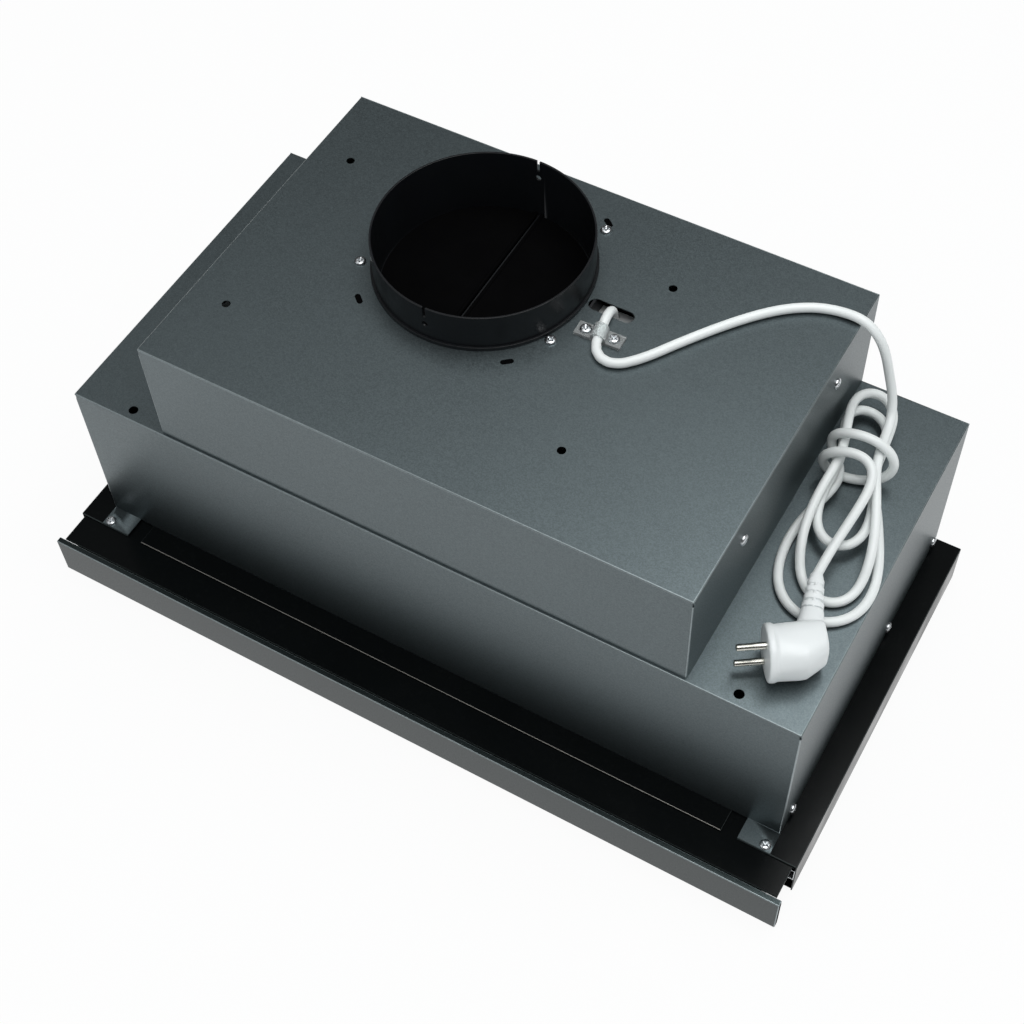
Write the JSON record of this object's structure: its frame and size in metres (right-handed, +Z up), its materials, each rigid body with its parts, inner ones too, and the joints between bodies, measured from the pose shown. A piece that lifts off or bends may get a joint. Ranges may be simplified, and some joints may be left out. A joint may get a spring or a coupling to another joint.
{
  "type": "range hood",
  "caption": "Pull-out built-under range hood: stepped sheet-steel housing, round duct collar, black tray, sliding visor with front bar, blower, filters and a mains lead.",
  "frame": {"origin": "middle of the underside of the hood, without its lead", "axes": "+X to the right seen from the front bar, +Y to the back, +Z up to the duct collar"},
  "size_m": [0.6, 0.32, 0.295],
  "materials": {
    "graphite_sheet": "metallic graphite lacquer",
    "black_sheet": "semi-gloss black lacquer",
    "black_plastic": "black moulded plastic",
    "zinc": "zinc plated",
    "aluminium": "bare rolled aluminium",
    "white_plastic": "white flexible plastic",
    "clear_plastic": "milky translucent plastic",
    "circuit_board": "green solder mask",
    "copper": "copper windings"
  },
  "bodies": {
    "hood": {"upper_housing": "graphite_sheet", "lower_housing": "graphite_sheet", "back_panel": "graphite_sheet", "base_tray": "black_sheet", "tray_front_strip": "black_sheet", "base_plate": "black_sheet", "duct_collar": "black_plastic", "scroll_half_left": "black_plastic", "scroll_half_right": "black_plastic", "motor_housing": "zinc", "stator": "copper", "bearings": "zinc", "motor_bracket": "zinc", "capacitor": "white_plastic", "capacitor_strap": "zinc", "terminal_box": "black_plastic", "terminal_block": "white_plastic", "led_driver": "white_plastic", "rail_left": "zinc", "rail_right": "zinc", "reed_switch": "white_plastic", "lamp_housings": "white_plastic", "led_boards": "white_plastic", "lamp_lenses": "clear_plastic", "cable_clamp": "clear_plastic", "top_screws": "zinc", "tab_screws": "zinc", "housing_screws": "zinc", "cord_lead": "white_plastic", "cord_hank": "white_plastic", "strain_relief": "white_plastic", "plug_body": "white_plastic", "plug_pins": "zinc"},
    "visor": {"visor_panel": "black_sheet", "visor_frame": "black_sheet", "front_bar": "graphite_sheet", "runner_left": "zinc", "runner_right": "zinc", "glide_shoes": "white_plastic", "visor_filter_frame": "aluminium", "visor_filter_mesh": "aluminium", "visor_magnet": "black_plastic", "control_housing": "black_plastic", "control_board": "circuit_board"},
    "fan": {"impeller": "black_plastic", "motor_shaft": "zinc", "rotor": "zinc"},
    "flap_left": {"damper_flap_left": "black_plastic"},
    "flap_right": {"damper_flap_right": "black_plastic"},
    "filter_left": {"filter_left_frame": "aluminium", "filter_left_mesh": "aluminium"},
    "filter_right": {"filter_right_frame": "aluminium", "filter_right_mesh": "aluminium"},
    "latch_left": {"filter_left_latch": "black_plastic"},
    "latch_right": {"filter_right_latch": "black_plastic"},
    "button_off": {"button_off": "black_plastic"},
    "button_low": {"button_low": "black_plastic"},
    "button_medium": {"button_medium": "black_plastic"},
    "button_high": {"button_high": "black_plastic"},
    "button_light": {"button_light": "black_plastic"}
  },
  "joints": [
    {"name": "visor_slide", "type": "slide", "parent": "hood", "child": "visor", "axis": [0, -1, 0], "range_m": [0, 0.16]},
    {"name": "press_off", "type": "slide", "parent": "visor", "child": "button_off", "axis": [0, 0, 1], "range_m": [0, 0.0015], "stiffness_N_per_m": 400, "springref_m": -0.001},
    {"name": "press_low", "type": "slide", "parent": "visor", "child": "button_low", "axis": [0, 0, 1], "range_m": [0, 0.0015], "stiffness_N_per_m": 400, "springref_m": -0.001},
    {"name": "press_medium", "type": "slide", "parent": "visor", "child": "button_medium", "axis": [0, 0, 1], "range_m": [0, 0.0015], "stiffness_N_per_m": 400, "springref_m": -0.001},
    {"name": "press_high", "type": "slide", "parent": "visor", "child": "button_high", "axis": [0, 0, 1], "range_m": [0, 0.0015], "stiffness_N_per_m": 400, "springref_m": -0.001},
    {"name": "press_light", "type": "slide", "parent": "visor", "child": "button_light", "axis": [0, 0, 1], "range_m": [0, 0.0015], "stiffness_N_per_m": 400, "springref_m": -0.001},
    {"name": "filter_left_hinge", "type": "hinge", "parent": "hood", "child": "filter_left", "pos_m": [-0.124, 0.147, 0.0013], "axis": [1, 0, 0], "range_deg": [0, 40]},
    {"name": "latch_left_slide", "type": "slide", "parent": "filter_left", "child": "latch_left", "axis": [0, 1, 0], "range_m": [0, 0.005], "stiffness_N_per_m": 400, "springref_m": -0.002},
    {"name": "filter_right_hinge", "type": "hinge", "parent": "hood", "child": "filter_right", "pos_m": [0.124, 0.147, 0.0013], "axis": [1, 0, 0], "range_deg": [0, 40]},
    {"name": "latch_right_slide", "type": "slide", "parent": "filter_right", "child": "latch_right", "axis": [0, 1, 0], "range_m": [0, 0.005], "stiffness_N_per_m": 400, "springref_m": -0.002},
    {"name": "fan_spin", "type": "hinge", "parent": "hood", "child": "fan", "pos_m": [-0.0415, 0.022, 0.149], "axis": [1, 0, 0], "continuous": true},
    {"name": "flap_left_hinge", "type": "hinge", "parent": "hood", "child": "flap_left", "pos_m": [-0.044, 0.0612, 0.245], "axis": [0, 1, 0], "range_deg": [0, 75]},
    {"name": "flap_right_hinge", "type": "hinge", "parent": "hood", "child": "flap_right", "pos_m": [-0.039, 0.0612, 0.245], "axis": [0, -1, 0], "range_deg": [0, 75]}
  ]
}
